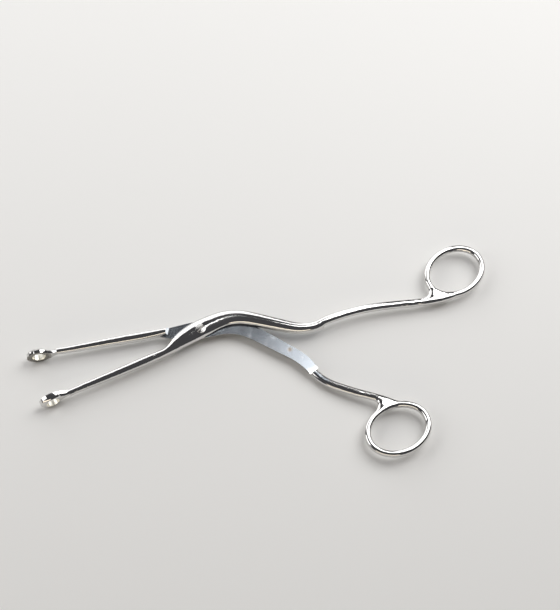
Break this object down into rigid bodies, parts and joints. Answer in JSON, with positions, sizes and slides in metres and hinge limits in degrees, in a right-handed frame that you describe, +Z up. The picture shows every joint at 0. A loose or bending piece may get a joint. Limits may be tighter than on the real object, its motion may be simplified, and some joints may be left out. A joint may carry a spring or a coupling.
{
  "type": "magill forceps",
  "caption": "Angled ring-handled catheter forceps with a lap joint, slotted pivot screw and serrated, windowed jaw tips.",
  "frame": {"origin": "on the floor plane under the middle of the box around the forceps in its rest pose", "axes": "+X from the jaw tips to the rings along the line that halves the open jaws, +Z up along the pivot screw, +Y from the lower arm's ring to the upper arm's ring"},
  "size_m": [0.2534, 0.1194, 0.0097],
  "materials": {
    "upper_arm": "mirror-polished stainless steel, ground lap face",
    "lower_arm": "mirror-polished stainless steel, ground lap face",
    "pivot_screw": "polished stainless steel, slotted head"
  },
  "bodies": {
    "lower": {"lower_arm": "lower_arm", "pivot_screw": "pivot_screw"},
    "upper": {"upper_arm": "upper_arm"}
  },
  "joints": [
    {"name": "pivot", "type": "hinge", "parent": "lower", "child": "upper", "pos_m": [-0.03417, 0.04314, 0.00485], "axis": [0, 0, 1], "range_deg": [-16.5, 13.5]}
  ]
}
